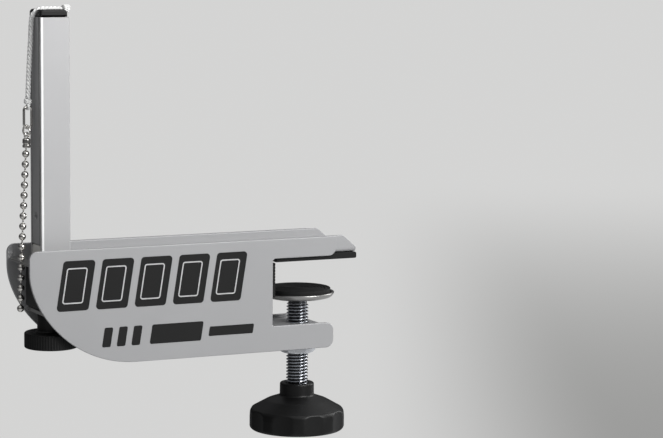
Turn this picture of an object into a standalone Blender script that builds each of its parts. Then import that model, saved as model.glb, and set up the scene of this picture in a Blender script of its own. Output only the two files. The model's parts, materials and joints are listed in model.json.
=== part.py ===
"""Table tennis net clamp: a screw bracket that grips the table's edge and carries the net's end post.

The frame: +Z is up, +X points in over the table, +Y runs along the table's edge. The origin is on the
rubber face that rests on the table top, on the axis of the clamp screw.
All sizes below are in millimetres; add() turns them into metres.
"""
from math import atan2, ceil, cos, pi, radians, sin, tan

import bmesh
import bpy
from mathutils import Vector

MM = 0.001
GAP = 0.3                                  # clearance between pieces that rest on each other

# Bracket: two cover plates on a welded inner frame
PLATE_T = 2.0
INNER = 20.0                               # from the middle plane to the plates' inner faces
FRAME_Y = INNER - GAP
PLATE_LEFT, PLATE_TOP, PLATE_BOTTOM = -186.5, 15.0, -55.9
JAW_BACK, ARM_UNDERSIDE, ARM_TOP = -27.3, 2.7, -39.9
UPPER_ARM_END, LOWER_ARM_END = 16.5, 15.0
CURVE_START_Z, CURVE_END_X = 2.0, -118.0   # where the rounded lower corner leaves the straight edges

# Jaw: channels, wall and rubber
WEB_LOW, WEB_T, WALL_T = 4.3, 2.0, 2.8
BEAM_LEFT, NOSE_TOP_X, NOSE_TIP_X, NOSE_TIP_Z = -148.0, 22.3, 31.2, 7.5
LOWER_WEB_TOP, LOWER_LEFT, LOWER_RIGHT = -42.0, -62.0, 11.0
TABLE_EDGE_X, PAD_END, PAD_T, BACK_PAD_LOW = -24.5, 32.0, 4.0, -22.0

# Clamp screw, M14
SCREW_R, SCREW_BORE_R, SCREW_LOW = 6.9, 7.3, -97.0
NUT_AF, NUT_LOW, NUT_HIGH, NUT_TURN = 20.0, -61.3, -44.3, radians(-26)
SPIGOT_R, SPIGOT_TOP, SHOULDER_Z = 4.1, -23.2, -28.0
DISC_R, DISC_TOP, DISC_LOW, DISC_T = 23.4, -22.1, -26.3, 1.9
PAD_FACE, DISC_PAD_R, DISC_PIVOT = -19.6, 21.0, -25.4
KNOB_R, NECK_R, KNOB_TOP, KNOB_NECK, KNOB_DOME, KNOB_LOW = 30.4, 10.9, -81.0, -89.3, -99.5, -111.2
KNOB_LOBES, KNOB_SCALLOP, KNOB_TURN = 9, 1.3, radians(-92.4)

# Net post and its height screw, M8
POST_X, POST_W, POST_D, POST_WALL = -165.5, 18.6, 20.0, 1.5
POST_LOW, POST_TOP, SLOT_W, NOTCH_TOP = -16.5, 153.7, 6.0, 17.0
CAP_TOP, CAP_INSET, GROOVE_W = 158.3, 1.4, 4.0
GUIDE_LOW, GUIDE_TOP, GUIDE_WALL = -22.0, 4.0, 2.7
SPINDLE_R, SPINDLE_TOP, SPINDLE_LOW = 3.9, 28.0, -44.0
BEARING_LOW, BEARING_TOP = -26.4, -24.4
WHEEL_R, WHEEL_TOP, WHEEL_LOW, WHEEL_NECK_R = 16.4, -36.9, -46.9, 8.5
SPINDLE_NUT_AF, SPINDLE_NUT_H = 13.0, 6.2

# Cover plate fasteners, M4: (x, z) of each
SPACERS = [(-138, -8), (-60, -12), (-72, -46), (-126, -42)]
SPACER_R, SPACER_BORE, FASTENER_R, HEAD_R, HEAD_H = 4.5, 2.3, 1.95, 3.6, 2.2

# Latch and bead chain
LATCH_LOW, LATCH_T, LATCH_RIGHT, LATCH_DROP = 5.45, 1.25, -177.0, 13.0
BEAD_R, BEAD_PITCH, BEADS, BEAD_TOP_Z, WIRE_R = 2.2, 6.25, 16, 71.7, 0.6
CHAIN_TOP_X, CHAIN_LATCH_X, CHAIN_END_X = -181.0, -184.3, -184.9

# Ring, link and tension cord
CORD_R = 1.6
LINK_X, LINK_Z, LINK_H, LINK_W, LINK_WIRE, LINK_TURN = -179.6, 93.7, 14.6, 6.4, 0.75, radians(4)
RING_Z, RING_R, RING_WIRE, RING_TURN = 85.7, 3.2, 0.6, radians(-71)
HANG_X = -180.4
CORD_BEND = 5.6                            # radius of the cord's middle line over the post cap
CORD_ROUTE = [
    (-179.4, 105.2), (-179.2, 111), (-178.9, 118), (-178.5, 125), (-178.1, 132), (-177.6, 139),
    (-177.3, 146), (-176.9, 151.4), (-176.4, 153.9), (-175.1, 156.2), (-172.9, 157.7), (-170.6, 158.3),
    (-167, 158.4), (-163, 158.4), (-158.1, 158.3)]
KNOT_R, END_KNOT_R = 2.5, 2.9

STEEL, ZINC = (0.36, 0.36, 0.37), (0.62, 0.64, 0.67)
FINISHES = {                               # colour, roughness, metallic
    "grey_paint": ((0.42, 0.42, 0.43), 0.42, 0.2), "bare_steel": (STEEL, 0.4, 1.0),
    "zinc": (ZINC, 0.28, 1.0), "aluminium": ((0.60, 0.60, 0.61), 0.38, 1.0),
    "black_plastic": ((0.018, 0.018, 0.019), 0.42, 0.0), "white_nylon": ((0.75, 0.74, 0.70), 0.45, 0.0),
    "rubber": ((0.03, 0.03, 0.031), 0.8, 0.0), "chrome": ((0.72, 0.71, 0.69), 0.12, 1.0),
    "cord": ((0.78, 0.78, 0.76), 0.9, 0.0)}


def clear_scene():
    for thing in list(bpy.data.objects):
        bpy.data.objects.remove(thing)


def material(finish):
    """One Principled material for each finish, made the first time it is asked for."""
    if finish in bpy.data.materials:
        return bpy.data.materials[finish]
    made = bpy.data.materials.new(finish)
    made.use_nodes = True
    shader = made.node_tree.nodes["Principled BSDF"]
    colour, roughness, metallic = FINISHES[finish]
    shader.inputs["Base Color"].default_value = (*colour, 1)
    shader.inputs["Roughness"].default_value = roughness
    shader.inputs["Metallic"].default_value = metallic
    return made


def axis(name, x=0, y=0, z=0, parent=None):
    """An empty on a joint's axis, which the pieces that move together hang from."""
    empty = bpy.data.objects.new(name, None)
    empty.location = Vector((x, y, z)) * MM
    empty.parent = parent
    bpy.context.collection.objects.link(empty)
    return empty


def add(name, shape, finish, parent=None, at=(0, 0, 0), smooth=False):
    """Make an object of a shape, its vertices and faces in millimetres, hung from a parent."""
    points, faces = shape
    mesh = bpy.data.meshes.new(name)
    mesh.from_pydata([Vector(p) * MM for p in points], [], faces)
    work = bmesh.new()
    work.from_mesh(mesh)
    bmesh.ops.recalc_face_normals(work, faces=work.faces)
    work.to_mesh(mesh)
    work.free()
    if smooth:
        mesh.shade_smooth()
        mesh.set_sharp_from_angle(angle=radians(35))
    piece = bpy.data.objects.new(name, mesh)
    piece.location = Vector(at) * MM
    piece.parent = parent
    bpy.context.collection.objects.link(piece)
    if finish:
        mesh.materials.append(material(finish))
    return piece


def boolean(piece, name, shape, operation="DIFFERENCE", at=(0, 0, 0)):
    """Cut a shape out of a piece, or join it on, with a hidden guide object."""
    guide = add(f"{piece.name}_{name}", shape, None, piece.parent, at)
    guide.hide_render = True
    guide.display_type = "WIRE"
    step = piece.modifiers.new(name, "BOOLEAN")
    step.operation = operation
    step.solver = "EXACT"
    step.object = guide


def place(axis_name, u, v, level):
    """A point with its two outline coordinates across an axis and its level along it."""
    return {"X": (level, u, v), "Y": (u, level, v), "Z": (u, v, level)}[axis_name]


def prism(outline, low, high, along="Y"):
    """An outline extruded between two levels along an axis."""
    count = len(outline)
    points = [place(along, u, v, level) for level in (low, high) for u, v in outline]
    sides = [(i, (i + 1) % count, count + (i + 1) % count, count + i) for i in range(count)]
    return points, [tuple(range(count)), tuple(range(2 * count - 1, count - 1, -1)), *sides]


def block(x0, x1, y0, y1, z0, z1):
    return prism([(x0, z0), (x1, z0), (x1, z1), (x0, z1)], y0, y1)


def rounded(corners, steps=4):
    """An outline from corners (u, v, radius), each corner with a radius turned into an arc."""
    outline = []
    for i, (u, v, radius) in enumerate(corners):
        here = Vector((u, v))
        if not radius:
            outline.append((u, v))
            continue
        back = (Vector(corners[i - 1][:2]) - here).normalized()
        ahead = (Vector(corners[(i + 1) % len(corners)][:2]) - here).normalized()
        half = back.angle(ahead) / 2
        centre = here + (back + ahead).normalized() * radius / sin(half)
        start = here + back * radius / tan(half) - centre
        end = here + ahead * radius / tan(half) - centre
        first = atan2(start.y, start.x)
        sweep = (atan2(end.y, end.x) - first + pi) % (2 * pi) - pi
        outline += [(centre.x + radius * cos(first + sweep * k / steps),
                     centre.y + radius * sin(first + sweep * k / steps)) for k in range(steps + 1)]
    return outline


def bezier(a, b, c, d, steps):
    """Points on a cubic curve from a to d."""
    a, b, c, d = (Vector(p) for p in (a, b, c, d))
    spread = [k / steps for k in range(steps + 1)]
    return [tuple((1 - t) ** 3 * a + 3 * (1 - t) ** 2 * t * b + 3 * (1 - t) * t * t * c + t ** 3 * d)
            for t in spread]


def circle(radius, segments=24, centre=(0, 0), turn=0.0):
    step = 2 * pi / segments
    return [(centre[0] + radius * cos(turn + k * step), centre[1] + radius * sin(turn + k * step))
            for k in range(segments)]


def hexagon(across_flats, turn=0.0):
    """A hexagon with a flat facing the direction turn - 90 degrees."""
    return circle(across_flats / 2 / cos(pi / 6), 6, turn=turn)


def turned(profile, segments=32, radius_at=None):
    """A closed profile of (radius, z) points turned about Z; points on the axis become poles."""
    points, rows = [], []
    for radius, z in profile:
        if radius == 0:
            rows.append([len(points)])
            points.append((0, 0, z))
            continue
        rows.append(list(range(len(points), len(points) + segments)))
        for k in range(segments):
            angle = 2 * pi * k / segments
            reach = radius_at(radius, z, angle) if radius_at else radius
            points.append((reach * cos(angle), reach * sin(angle), z))
    solid = profile[0][0] == 0
    faces = []
    for low, high in zip(rows, rows[1:] if solid else rows[1:] + rows[:1]):
        for k in range(segments):
            m = (k + 1) % segments
            if len(low) == 1:
                faces.append((low[0], high[k], high[m]))
            elif len(high) == 1:
                faces.append((low[k], low[m], high[0]))
            else:
                faces.append((low[k], low[m], high[m], high[k]))
    return points, faces


def bushing(outer, inner, low, high, segments=24):
    """A ring of rectangular section about Z."""
    return turned([(outer, low), (outer, high), (inner, high), (inner, low)], segments)


def loop_tube(path, normal, radius, sides=8):
    """A round wire along a closed flat path; normal is the direction across the path's plane."""
    points, faces = [], []
    count = len(path)
    for i, here in enumerate(path):
        ahead = (path[(i + 1) % count] - path[i - 1]).normalized()
        across = ahead.cross(normal)
        for k in range(sides):
            angle = 2 * pi * k / sides
            points.append(here + (across * cos(angle) + normal * sin(angle)) * radius)
    for i in range(count):
        for k in range(sides):
            j, m = (i + 1) % count, (k + 1) % sides
            faces.append((i * sides + k, i * sides + m, j * sides + m, j * sides + k))
    return points, faces


def oval_path(height, width, turn, segments=10):
    """A race-track path about the origin, upright, in the vertical plane at an angle about Z."""
    radius, straight = width / 2, (height - width) / 2
    angles = [pi * k / segments for k in range(segments + 1)]
    flat = [(radius * cos(a), straight + radius * sin(a)) for a in angles]
    flat += [(-u, -v) for u, v in flat]
    return [Vector((u * cos(turn), u * sin(turn), v)) for u, v in flat], Vector((-sin(turn), cos(turn), 0))


def plate_outline():
    """The cover plate's side view: a long body with a two-armed jaw and one large rounded corner."""
    corners = rounded([
        (PLATE_LEFT, CURVE_START_Z, 0), (PLATE_LEFT, PLATE_TOP, 5), (UPPER_ARM_END, PLATE_TOP, 0.8),
        (UPPER_ARM_END, ARM_UNDERSIDE, 5), (JAW_BACK, ARM_UNDERSIDE, 2), (JAW_BACK, ARM_TOP, 1.5),
        (LOWER_ARM_END, ARM_TOP, 5), (LOWER_ARM_END, PLATE_BOTTOM, 5), (CURVE_END_X, PLATE_BOTTOM, 0)])
    curve = bezier((CURVE_END_X, PLATE_BOTTOM), (-161, PLATE_BOTTOM), (PLATE_LEFT, -20),
                   (PLATE_LEFT, CURVE_START_Z), 14)
    return corners + curve[1:-1]


def cover_plates():
    outline = plate_outline()
    add("front_side_plate", prism(outline, -INNER - PLATE_T, -INNER), "grey_paint")
    rear = add("rear_side_plate", prism(outline, INNER, INNER + PLATE_T), "grey_paint")
    for number, centre in enumerate(SPACERS, 1):
        hole = prism(circle(SPACER_BORE, 16, centre), INNER - 1, INNER + PLATE_T + 1)
        boolean(rear, f"hole_{number}", hole)


def fasteners():
    """Spacers between the cover plates, each with a pan-head screw through the rear plate."""
    for number, (x, z) in enumerate(SPACERS, 1):
        spacer = add(f"plate_spacer_{number}", prism(circle(SPACER_R, 16, (x, z)), -FRAME_Y, FRAME_Y),
                     "zinc", smooth=True)
        boolean(spacer, "bore", prism(circle(SPACER_BORE, 16, (x, z)), 4, INNER + 1))
        head_y = INNER + PLATE_T + GAP
        shank = turned([(0, 6), (FASTENER_R, 6), (FASTENER_R, head_y), (HEAD_R, head_y),
                        (HEAD_R, head_y + 0.6 * HEAD_H), (0.8 * HEAD_R, head_y + HEAD_H),
                        (0, head_y + HEAD_H)], 16)
        points = [(x + u, level, z - v) for u, v, level in shank[0]]
        add(f"plate_screw_{number}", (points, shank[1]), "zinc", smooth=True)


def jaw():
    """The folded channels and wall of the jaw, the welded nut and the rubber that meets the table."""
    beam = prism([(BEAM_LEFT, WEB_LOW), (NOSE_TIP_X, WEB_LOW), (NOSE_TIP_X, NOSE_TIP_Z),
                  (NOSE_TOP_X, PLATE_TOP), (BEAM_LEFT, PLATE_TOP)], -FRAME_Y, FRAME_Y)
    channel = add("upper_jaw_channel", beam, "grey_paint")
    trough = FRAME_Y - PLATE_T
    boolean(channel, "trough",
            block(BEAM_LEFT - 1, NOSE_TIP_X + 1, -trough, trough, WEB_LOW + WEB_T, PLATE_TOP + 1))
    add("jaw_back_wall",
        block(JAW_BACK - GAP - WALL_T, JAW_BACK - GAP, -FRAME_Y, FRAME_Y,
              LOWER_WEB_TOP + GAP, WEB_LOW - GAP), "grey_paint")
    lower = add("lower_jaw_channel",
                block(LOWER_LEFT, LOWER_RIGHT, -FRAME_Y, FRAME_Y, PLATE_BOTTOM + GAP, LOWER_WEB_TOP),
                "grey_paint")
    boolean(lower, "trough", block(LOWER_LEFT - 1, LOWER_RIGHT + 1, -trough, trough,
                                   PLATE_BOTTOM - 1, LOWER_WEB_TOP - WEB_T))
    boolean(lower, "screw_hole", prism(circle(SCREW_BORE_R), LOWER_WEB_TOP - 4, LOWER_WEB_TOP + 1, "Z"))
    nut = add("clamp_nut", prism(hexagon(NUT_AF, NUT_TURN), NUT_LOW, NUT_HIGH, "Z"), "zinc")
    boolean(nut, "bore", prism(circle(SCREW_BORE_R), NUT_LOW - 1, NUT_HIGH + 1, "Z"))
    step = TABLE_EDGE_X + GAP
    add("upper_jaw_pad", prism([
        (step, 0), (PAD_END, 0), (PAD_END, PAD_T), (JAW_BACK + GAP, PAD_T), (JAW_BACK + GAP, GAP),
        (step, GAP)], -FRAME_Y, FRAME_Y), "rubber")
    add("back_jaw_pad", block(JAW_BACK, TABLE_EDGE_X, -FRAME_Y, FRAME_Y, BACK_PAD_LOW, -GAP), "rubber")


def scalloped(radius, z, angle):
    """Draw the knob's rim in between its lobes; the dome above it stays round."""
    if radius < KNOB_R - 4:
        return radius
    wave = max(0.0, cos(KNOB_LOBES * (angle - KNOB_TURN))) ** 0.7
    return radius - KNOB_SCALLOP * wave


def clamp_screw():
    """Everything that turns with the clamp knob, and the swivelling disc that presses on the table."""
    travel = axis("clamp_travel_axis")
    add("swivel_washer", bushing(7.4, SPIGOT_R + GAP, SHOULDER_Z + GAP, DISC_LOW - 1.5 * GAP),
        "zinc", travel, smooth=True)
    spin = axis("clamp_screw_axis", parent=travel)
    add("clamp_screw", turned([
        (0, SCREW_LOW), (SCREW_R, SCREW_LOW), (SCREW_R, SHOULDER_Z - 1), (SPIGOT_R + 0.8, SHOULDER_Z),
        (SPIGOT_R, SHOULDER_Z), (SPIGOT_R, SPIGOT_TOP), (0, SPIGOT_TOP)], 24), "zinc", spin, smooth=True)
    add("screw_tip_clip", bushing(5.6, SPIGOT_R + GAP, SPIGOT_TOP - 0.8, SPIGOT_TOP - 0.1, 20), "bare_steel", spin, smooth=True)
    pocket_top, pocket_low, pocket_r = -92.6, -99.0, 11.5
    add("clamp_knob", turned([
        (0, pocket_low), (pocket_r, pocket_low), (pocket_r, pocket_top), (SCREW_BORE_R, pocket_top),
        (SCREW_BORE_R, KNOB_TOP), (NECK_R - 0.7, KNOB_TOP), (NECK_R, KNOB_TOP - 0.9),
        (NECK_R, KNOB_NECK + 0.8), (NECK_R + 1.8, KNOB_NECK - 0.7), (20, -92.8), (25.4, -95.7),
        (KNOB_R - 0.9, KNOB_DOME), (KNOB_R, KNOB_DOME - 1.5), (KNOB_R, KNOB_LOW + 2.5),
        (KNOB_R - 2.5, KNOB_LOW), (12, KNOB_LOW), (10, KNOB_LOW + 1.5), (0, KNOB_LOW + 1.5)],
        48, scalloped), "black_plastic", spin, smooth=True)
    insert = add("knob_hex_insert", prism(hexagon(2 * (pocket_r - GAP) * cos(pi / 6)),
                                          pocket_low + GAP, pocket_top - GAP, "Z"), "zinc", spin)
    boolean(insert, "bore", prism(circle(SCREW_BORE_R), pocket_low - 1, pocket_top + 1, "Z"))
    tilt = axis("disc_tilt_axis", z=DISC_PIVOT, parent=travel)
    lift = (0, 0, -DISC_PIVOT)
    add("pressure_disc", turned([
        (SPIGOT_R + 0.4, DISC_LOW + DISC_T), (SPIGOT_R + 0.4, DISC_LOW), (17.5, DISC_LOW),
        (20.5, DISC_LOW + 0.6), (22.4, DISC_LOW + 1.8), (DISC_R, DISC_TOP), (DISC_R - 1.6, DISC_TOP),
        (DISC_R - 2.0, DISC_LOW + DISC_T + 0.6), (19.5, DISC_LOW + DISC_T)], 40),
        "bare_steel", tilt, lift, smooth=True)
    rest = DISC_LOW + DISC_T + 0.4
    add("pressure_disc_pad", turned([
        (0, SPIGOT_TOP + 0.4), (8.2, SPIGOT_TOP + 0.4), (8.2, rest), (19.0, rest), (DISC_PAD_R, rest + 1.0),
        (DISC_PAD_R, PAD_FACE), (0, PAD_FACE)], 40), "rubber", tilt, lift, smooth=True)


def net_post():
    """The slotted aluminium post with its cap, and the nylon insert and nut that lift it."""
    post = axis("post_slide_axis", x=POST_X)
    half_w, half_d = POST_W / 2, POST_D / 2
    outline = rounded([(-half_w, -half_d, 1.2), (half_w, -half_d, 1.2), (half_w, half_d, 1.2),
                       (-half_w, half_d, 1.2)], 3)
    tube = add("net_post_tube", prism(outline, POST_LOW, POST_TOP, "Z"), "aluminium", post)
    in_w, in_d = half_w - POST_WALL, half_d - POST_WALL
    boolean(tube, "cavity", block(-in_w, in_w, -in_d, in_d, POST_LOW - 1, POST_TOP + 1))
    boolean(tube, "net_slot", block(in_w - 1, half_w + 1, -SLOT_W / 2, SLOT_W / 2, POST_LOW - 2, POST_TOP + 2))
    boolean(tube, "notch", block(-half_w - 1, -in_w + 0.5, -in_d + 0.8, in_d - 0.8, POST_LOW - 3, NOTCH_TOP))
    boolean(tube, "net_rod_hole", prism(circle(2.5, 16, (0, 34)), -half_w - 1, -in_w + 1, "X"))

    nut_top = POST_LOW + SPINDLE_NUT_H
    insert = add("post_nylon_insert", block(-in_w + GAP, in_w - GAP, -in_d + GAP, in_d - GAP,
                                            nut_top + GAP, NOTCH_TOP - 0.4), "white_nylon", post)
    boolean(insert, "boss", block(-half_w + 0.1, -in_w + 1, -in_d + 1.2, in_d - 1.2,
                                  nut_top + GAP + 1, NOTCH_TOP - 0.8), "UNION")
    boolean(insert, "spindle_bore", prism(circle(SPINDLE_R + 0.4, 20), nut_top - 1, NOTCH_TOP + 1, "Z"))
    nut = add("post_spindle_nut", prism(hexagon(SPINDLE_NUT_AF, pi / 6), POST_LOW + 0.1, nut_top, "Z"),
              "zinc", post)
    boolean(nut, "bore", prism(circle(SPINDLE_R + 0.4, 20), POST_LOW - 1, nut_top + 1, "Z"))

    right = half_w - CAP_INSET
    cap_low = POST_TOP + GAP
    cap = add("post_cap", prism(rounded([(-half_w, cap_low, 0), (right, cap_low, 0), (right, CAP_TOP, 2.2),
                                         (-half_w, CAP_TOP, 2.2)]), -half_d, half_d), "black_plastic", post)
    boolean(cap, "plug", block(-in_w + GAP, in_w - GAP, -in_d + GAP, in_d - GAP, POST_TOP - 10, cap_low + 1),
            "UNION")
    boolean(cap, "cord_groove", prism(groove_outline(), -GROOVE_W / 2, GROOVE_W / 2))


def groove_outline():
    """The groove over the cap: a flat floor under the cord that rounds down the cap's outer side."""
    centre_x, centre_z = -170.6 - POST_X, CORD_ROUTE[11][1] - CORD_BEND
    reach = CORD_BEND - CORD_R - GAP
    arc = [(centre_x + reach * cos(a), centre_z + reach * sin(a))
           for a in (pi / 2 + pi / 2 * k / 6 for k in range(7))]
    return [(POST_W, centre_z + reach), *arc, (arc[-1][0] - 0.3, POST_TOP - 0.2), (-POST_W, POST_TOP - 0.2),
            (-POST_W, CAP_TOP + 5), (POST_W, CAP_TOP + 5)]


def height_screw():
    """The guide and bearing plate in the bracket, and the wheel whose spindle raises the post."""
    half_w, half_d = POST_W / 2 + GAP, POST_D / 2 + GAP
    outer_w, outer_d = half_w + GUIDE_WALL, half_d + GUIDE_WALL
    guide_axis = axis("post_guide_axis", x=POST_X)
    guide = add("post_guide_sleeve", block(-outer_w + 0.8, outer_w, -outer_d, outer_d, GUIDE_LOW, GUIDE_TOP),
                "black_plastic", guide_axis)
    boolean(guide, "side_rib", block(-4, 6, -FRAME_Y, FRAME_Y, GUIDE_LOW, GUIDE_TOP), "UNION")
    boolean(guide, "post_bore", block(-half_w, half_w, -half_d, half_d, GUIDE_LOW - 1, GUIDE_TOP + 1))
    bearing = add("wheel_bearing_plate", block(-8, 12, -FRAME_Y, FRAME_Y, BEARING_LOW, BEARING_TOP),
                  "bare_steel", guide_axis)
    boolean(bearing, "hole", prism(circle(SPINDLE_R + 0.4, 20), BEARING_LOW - 1, BEARING_TOP + 1, "Z"))

    spin = axis("height_wheel_axis", x=POST_X)
    wheel_floor = SPINDLE_LOW - GAP
    add("height_wheel", turned([
        (0, wheel_floor), (SPINDLE_R + GAP, wheel_floor), (SPINDLE_R + GAP, BEARING_LOW - GAP),
        (WHEEL_NECK_R, BEARING_LOW - GAP), (WHEEL_NECK_R, WHEEL_TOP + 0.8), (WHEEL_NECK_R + 1.4, WHEEL_TOP + 0.2),
        (WHEEL_R - 1.4, WHEEL_TOP), (WHEEL_R, WHEEL_TOP - 1.2), (WHEEL_R, WHEEL_LOW + 1),
        (WHEEL_R - 1, WHEEL_LOW), (0, WHEEL_LOW)], 32), "black_plastic", spin, smooth=True)
    add("height_spindle", turned([(0, SPINDLE_LOW), (SPINDLE_R, SPINDLE_LOW), (SPINDLE_R, SPINDLE_TOP - 1),
                                  (SPINDLE_R - 1, SPINDLE_TOP), (0, SPINDLE_TOP)], 20), "zinc", spin, smooth=True)
    add("spindle_clip", bushing(7, SPINDLE_R + GAP, BEARING_TOP + GAP, BEARING_TOP + 1.1, 20),
        "bare_steel", spin, smooth=True)


def chain_latch():
    """The tab at the bracket's outer end, with the open slot that a bead hooks under."""
    left = PLATE_LEFT + 0.8
    tab = add("chain_latch_tab", block(left, LATCH_RIGHT, -FRAME_Y, FRAME_Y, LATCH_LOW, LATCH_LOW + LATCH_T),
              "bare_steel")
    boolean(tab, "slot", prism([(left - 1, -3), (CHAIN_LATCH_X - 0.6, -1.2), (CHAIN_LATCH_X + 1.8, -1.2),
                                (CHAIN_LATCH_X + 1.8, 1.2), (CHAIN_LATCH_X - 0.6, 1.2), (left - 1, 3)],
                               LATCH_LOW - 1, LATCH_LOW + LATCH_T + 1, "Z"))


def chain_x(z):
    """Where the chain hangs at a height: drawn out from the link to the latch, then straight down."""
    latch = LATCH_LOW + LATCH_T / 2
    if z > latch:
        return CHAIN_LATCH_X + (CHAIN_TOP_X - CHAIN_LATCH_X) * (z - latch) / (BEAD_TOP_Z - latch)
    low = BEAD_TOP_Z - BEAD_PITCH * (BEADS - 1)
    return CHAIN_LATCH_X + (CHAIN_END_X - CHAIN_LATCH_X) * (latch - z) / (latch - low)


def bead_chain():
    """Round hollow beads on short rods, as one turned string whose middle line follows chain_x."""
    steps = [radians(a) for a in (16, 42, 68, 90, 112, 138, 164)]
    profile = [(0, BEAD_TOP_Z + BEAD_R + 1.2), (WIRE_R, BEAD_TOP_Z + BEAD_R + 1.2)]
    for bead in range(BEADS):
        centre = BEAD_TOP_Z - bead * BEAD_PITCH
        profile += [(BEAD_R * sin(a), centre + BEAD_R * cos(a)) for a in steps]
    profile.append((0, centre - BEAD_R))
    points, faces = turned(profile, 10)
    add("bead_chain", ([(x + chain_x(z), y, z) for x, y, z in points], faces), "chrome", smooth=True)


def chain_head():
    """The connector that holds the chain's last bead, the split ring and the oval link."""
    top = BEAD_TOP_Z + BEAD_R + 1.2 + GAP
    bell = turned([(0, top), (1.6, top), (2.5, top + 0.7), (2.5, top + 4.6), (1.7, top + 5.8),
                   (0, top + 6.0)], 14)
    connector = add("chain_connector", bell, "chrome", at=(HANG_X, 0, 0), smooth=True)
    ring_low = RING_Z - RING_R - RING_WIRE
    eye, across = oval_path(4.0, 2.9, RING_TURN + pi / 2)
    centre = Vector((0, 0, ring_low + 0.6))
    boolean(connector, "eye", loop_tube([p + centre for p in eye], across, 0.5), "UNION", (HANG_X, 0, 0))
    ring, across = oval_path(2 * RING_R, 2 * RING_R, RING_TURN)
    add("split_ring", loop_tube(ring, across, RING_WIRE), "chrome", at=(HANG_X, 0, RING_Z), smooth=True)
    link, across = oval_path(LINK_H - 2 * LINK_WIRE, LINK_W - 2 * LINK_WIRE, LINK_TURN)
    add("oval_link", loop_tube(link, across, LINK_WIRE), "chrome", at=(LINK_X, 0, LINK_Z), smooth=True)


def smooth_route(route, spacing):
    """Points about a spacing apart on the smooth curve through a route's own points."""
    ends = [Vector(p) for p in (route[0], *route, route[-1])]
    line = []
    for a, b, c, d in zip(ends, ends[1:], ends[2:], ends[3:]):
        steps = max(1, ceil((c - b).length / spacing))
        for t in (k / steps for k in range(steps)):
            line.append(0.5 * (2 * b + (c - a) * t + (2 * a - 5 * b + 4 * c - d) * t * t
                               + (3 * b - a - 3 * c + d) * t ** 3))
    return line + [ends[-1]]


def tension_cord():
    """The cord from the link over the post cap, and the knots at its two ends."""
    line = smooth_route(CORD_ROUTE, 3 * CORD_R)
    curve = bpy.data.curves.new("tension_cord", "CURVE")
    curve.dimensions = "3D"
    curve.bevel_depth = CORD_R * MM
    curve.bevel_resolution = 2
    curve.use_fill_caps = True
    spline = curve.splines.new("POLY")
    spline.points.add(len(line) - 1)
    for point, (x, z) in zip(spline.points, line):
        point.co = (x * MM, 0, z * MM, 1)
    curve.materials.append(material("cord"))
    cord = bpy.data.objects.new("tension_cord", curve)
    bpy.context.collection.objects.link(cord)

    ball = [(sin(a), cos(a)) for a in (pi * k / 8 for k in range(9))]
    ball = [(0 if abs(r) < 1e-6 else r, z) for r, z in ball]
    knot = turned([(KNOT_R * r, 1.7 * z) for r, z in ball], 14)
    top = CORD_ROUTE[0]
    add("link_knot", knot, "cord", at=(top[0], 0, top[1] - GAP - 1.7), smooth=True)
    points, faces = turned([(END_KNOT_R * r, 2.6 * z) for r, z in ball], 14)
    end = CORD_ROUTE[-1]
    add("cord_end_knot", ([(z, x, y) for x, y, z in points], faces), "cord",
        at=(end[0] + GAP + 2.6, 0, end[1]), smooth=True)


clear_scene()
cover_plates()
fasteners()
jaw()
clamp_screw()
net_post()
height_screw()
chain_latch()
bead_chain()
chain_head()
tension_cord()
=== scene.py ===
"""Looks of the table tennis net clamp: its painted bracket, slotted post, threads, bead chain and cord."""
import json
from math import cos, pi, radians, sin, tan

import bmesh
import bpy
import numpy as np
from mathutils import Euler, Matrix, Vector


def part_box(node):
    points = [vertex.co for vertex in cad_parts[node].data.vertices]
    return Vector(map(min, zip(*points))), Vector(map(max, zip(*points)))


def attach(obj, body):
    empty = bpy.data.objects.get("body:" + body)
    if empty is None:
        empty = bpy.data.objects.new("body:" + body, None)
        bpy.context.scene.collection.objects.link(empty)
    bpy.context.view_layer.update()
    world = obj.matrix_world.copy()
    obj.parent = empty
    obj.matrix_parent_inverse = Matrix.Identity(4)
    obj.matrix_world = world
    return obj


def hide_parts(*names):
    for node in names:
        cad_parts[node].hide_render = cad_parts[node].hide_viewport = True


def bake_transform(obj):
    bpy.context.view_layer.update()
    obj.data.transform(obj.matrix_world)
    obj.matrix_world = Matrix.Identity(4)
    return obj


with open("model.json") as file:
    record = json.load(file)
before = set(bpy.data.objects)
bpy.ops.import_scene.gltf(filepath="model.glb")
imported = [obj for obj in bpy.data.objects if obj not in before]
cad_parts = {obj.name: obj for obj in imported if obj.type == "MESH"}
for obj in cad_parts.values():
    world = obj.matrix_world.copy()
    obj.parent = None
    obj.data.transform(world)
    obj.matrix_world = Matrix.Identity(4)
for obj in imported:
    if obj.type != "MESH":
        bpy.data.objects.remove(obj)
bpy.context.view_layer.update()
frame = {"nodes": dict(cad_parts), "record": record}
MM = 0.001
TAU = 2 * pi


# ---------------------------------------------------------------- camera and cord
def camera():
    """A long lens from the left and a little above, on the side of the front cover plate, rolled slightly."""
    data = bpy.data.cameras.new("camera")
    data.lens, data.sensor_width, data.clip_end = 131.3, 36, 300
    data.shift_x, data.shift_y = -0.0008, 0.0032
    eye = bpy.data.objects.new("camera", data)
    eye.location = (-0.6493, -1.3806, 0.2102)
    level = Euler((radians(83.0), 0, radians(-26.0))).to_matrix()
    eye.rotation_euler = (level @ Matrix.Rotation(radians(0.5), 3, "Z")).to_euler()
    bpy.context.scene.collection.objects.link(eye)
    bpy.context.scene.camera = eye


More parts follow.
